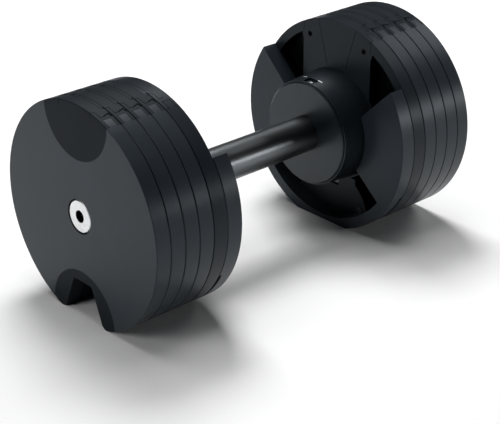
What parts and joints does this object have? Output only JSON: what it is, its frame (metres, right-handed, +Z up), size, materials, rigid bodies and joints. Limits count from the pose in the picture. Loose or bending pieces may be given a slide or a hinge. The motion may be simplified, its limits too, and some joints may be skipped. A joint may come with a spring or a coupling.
{
  "type": "adjustable dumbbell",
  "caption": "Adjustable dumbbell: a twist handle draws locking rods in or out of two stacked round heads to choose how many plates it lifts.",
  "frame": {"origin": "on the floor under mid-handle, at the centre of the bounding box's bottom face", "axes": "+X along the handle towards the right head, +Y across it, +Z up"},
  "size_m": [0.3162, 0.17, 0.1652],
  "materials": {
    "bright_steel": "turned",
    "hardened_steel": "ground",
    "hub_plastic": "fine moulded texture",
    "acetal": "moulded",
    "bronze": "machined",
    "spring_steel": "drawn wire",
    "block_iron": "machined casting",
    "zinc_steel": "zinc plated",
    "carrier_plastic": "fine moulded texture",
    "coated_iron": "satin powder coat",
    "insert_plastic": "fine moulded texture",
    "handle_steel": "black oxide, fine knurl"
  },
  "bodies": {
    "heads": {"left_thrust_washer": "acetal", "left_tube_bearing": "bronze", "left_bearing_block": "block_iron", "left_hub_cover": "hub_plastic", "left_guide_bush": "bronze", "left_outer_bush": "bronze", "left_detent_spring": "spring_steel", "left_lock_spring": "spring_steel", "left_carrier": "carrier_plastic", "left_wing_weight": "coated_iron", "left_screws": "zinc_steel", "left_plate_1": "coated_iron", "left_plate_2": "coated_iron", "left_plate_3": "coated_iron", "left_plate_4": "coated_iron", "left_top_insert_1": "insert_plastic", "left_top_insert_2": "insert_plastic", "left_top_insert_3": "insert_plastic", "left_top_insert_4": "insert_plastic", "left_foot_insert_1": "insert_plastic", "left_foot_insert_2": "insert_plastic", "left_foot_insert_3": "insert_plastic", "left_foot_insert_4": "insert_plastic", "right_thrust_washer": "acetal", "right_tube_bearing": "bronze", "right_bearing_block": "block_iron", "right_hub_cover": "hub_plastic", "right_guide_bush": "bronze", "right_outer_bush": "bronze", "right_detent_spring": "spring_steel", "right_lock_spring": "spring_steel", "right_carrier": "carrier_plastic", "right_wing_weight": "coated_iron", "right_screws": "zinc_steel", "right_plate_1": "coated_iron", "right_plate_2": "coated_iron", "right_plate_3": "coated_iron", "right_plate_4": "coated_iron", "right_top_insert_1": "insert_plastic", "right_top_insert_2": "insert_plastic", "right_top_insert_3": "insert_plastic", "right_top_insert_4": "insert_plastic", "right_foot_insert_1": "insert_plastic", "right_foot_insert_2": "insert_plastic", "right_foot_insert_3": "insert_plastic", "right_foot_insert_4": "insert_plastic"},
    "handle": {"handle_tube": "handle_steel", "left_dial": "hub_plastic", "left_drive_pin": "hardened_steel", "left_retaining_ring": "spring_steel", "right_dial": "hub_plastic", "right_drive_pin": "hardened_steel", "right_retaining_ring": "spring_steel"},
    "left_rod": {"left_rod": "bright_steel"},
    "left_lock": {"left_lock_plate": "zinc_steel"},
    "left_detent": {"left_detent_ball": "hardened_steel"},
    "right_rod": {"right_rod": "bright_steel"},
    "right_lock": {"right_lock_plate": "zinc_steel"},
    "right_detent": {"right_detent_ball": "hardened_steel"}
  },
  "joints": [
    {"name": "handle_turn", "type": "hinge", "parent": "heads", "child": "handle", "pos_m": [0, 0, 0.0802], "axis": [1, 0, 0], "range_deg": [0, 288]},
    {"name": "left_rod_slide", "type": "slide", "parent": "heads", "child": "left_rod", "axis": [1, 0, 0], "range_m": [0, 0.0506]},
    {"name": "right_rod_slide", "type": "slide", "parent": "heads", "child": "right_rod", "axis": [-1, 0, 0], "range_m": [0, 0.0506]},
    {"name": "left_lock_slide", "type": "slide", "parent": "heads", "child": "left_lock", "axis": [0, 0, 1], "range_m": [-0.004, 0], "stiffness_N_per_m": 250, "springref_m": -0.004, "deforming": ["left_lock_spring"]},
    {"name": "left_detent_slide", "type": "slide", "parent": "heads", "child": "left_detent", "axis": [0, 0, 1], "range_m": [-0.001, 0], "stiffness_N_per_m": 800, "springref_m": -0.001, "deforming": ["left_detent_spring"]},
    {"name": "right_lock_slide", "type": "slide", "parent": "heads", "child": "right_lock", "axis": [0, 0, 1], "range_m": [-0.004, 0], "stiffness_N_per_m": 250, "springref_m": -0.004, "deforming": ["right_lock_spring"]},
    {"name": "right_detent_slide", "type": "slide", "parent": "heads", "child": "right_detent", "axis": [0, 0, 1], "range_m": [-0.001, 0], "stiffness_N_per_m": 800, "springref_m": -0.001, "deforming": ["right_detent_spring"]}
  ],
  "couplings": [
    {"joint": "left_rod_slide", "follows": "handle_turn", "m_per_rad": 0.010067},
    {"joint": "right_rod_slide", "follows": "handle_turn", "m_per_rad": 0.010067}
  ]
}
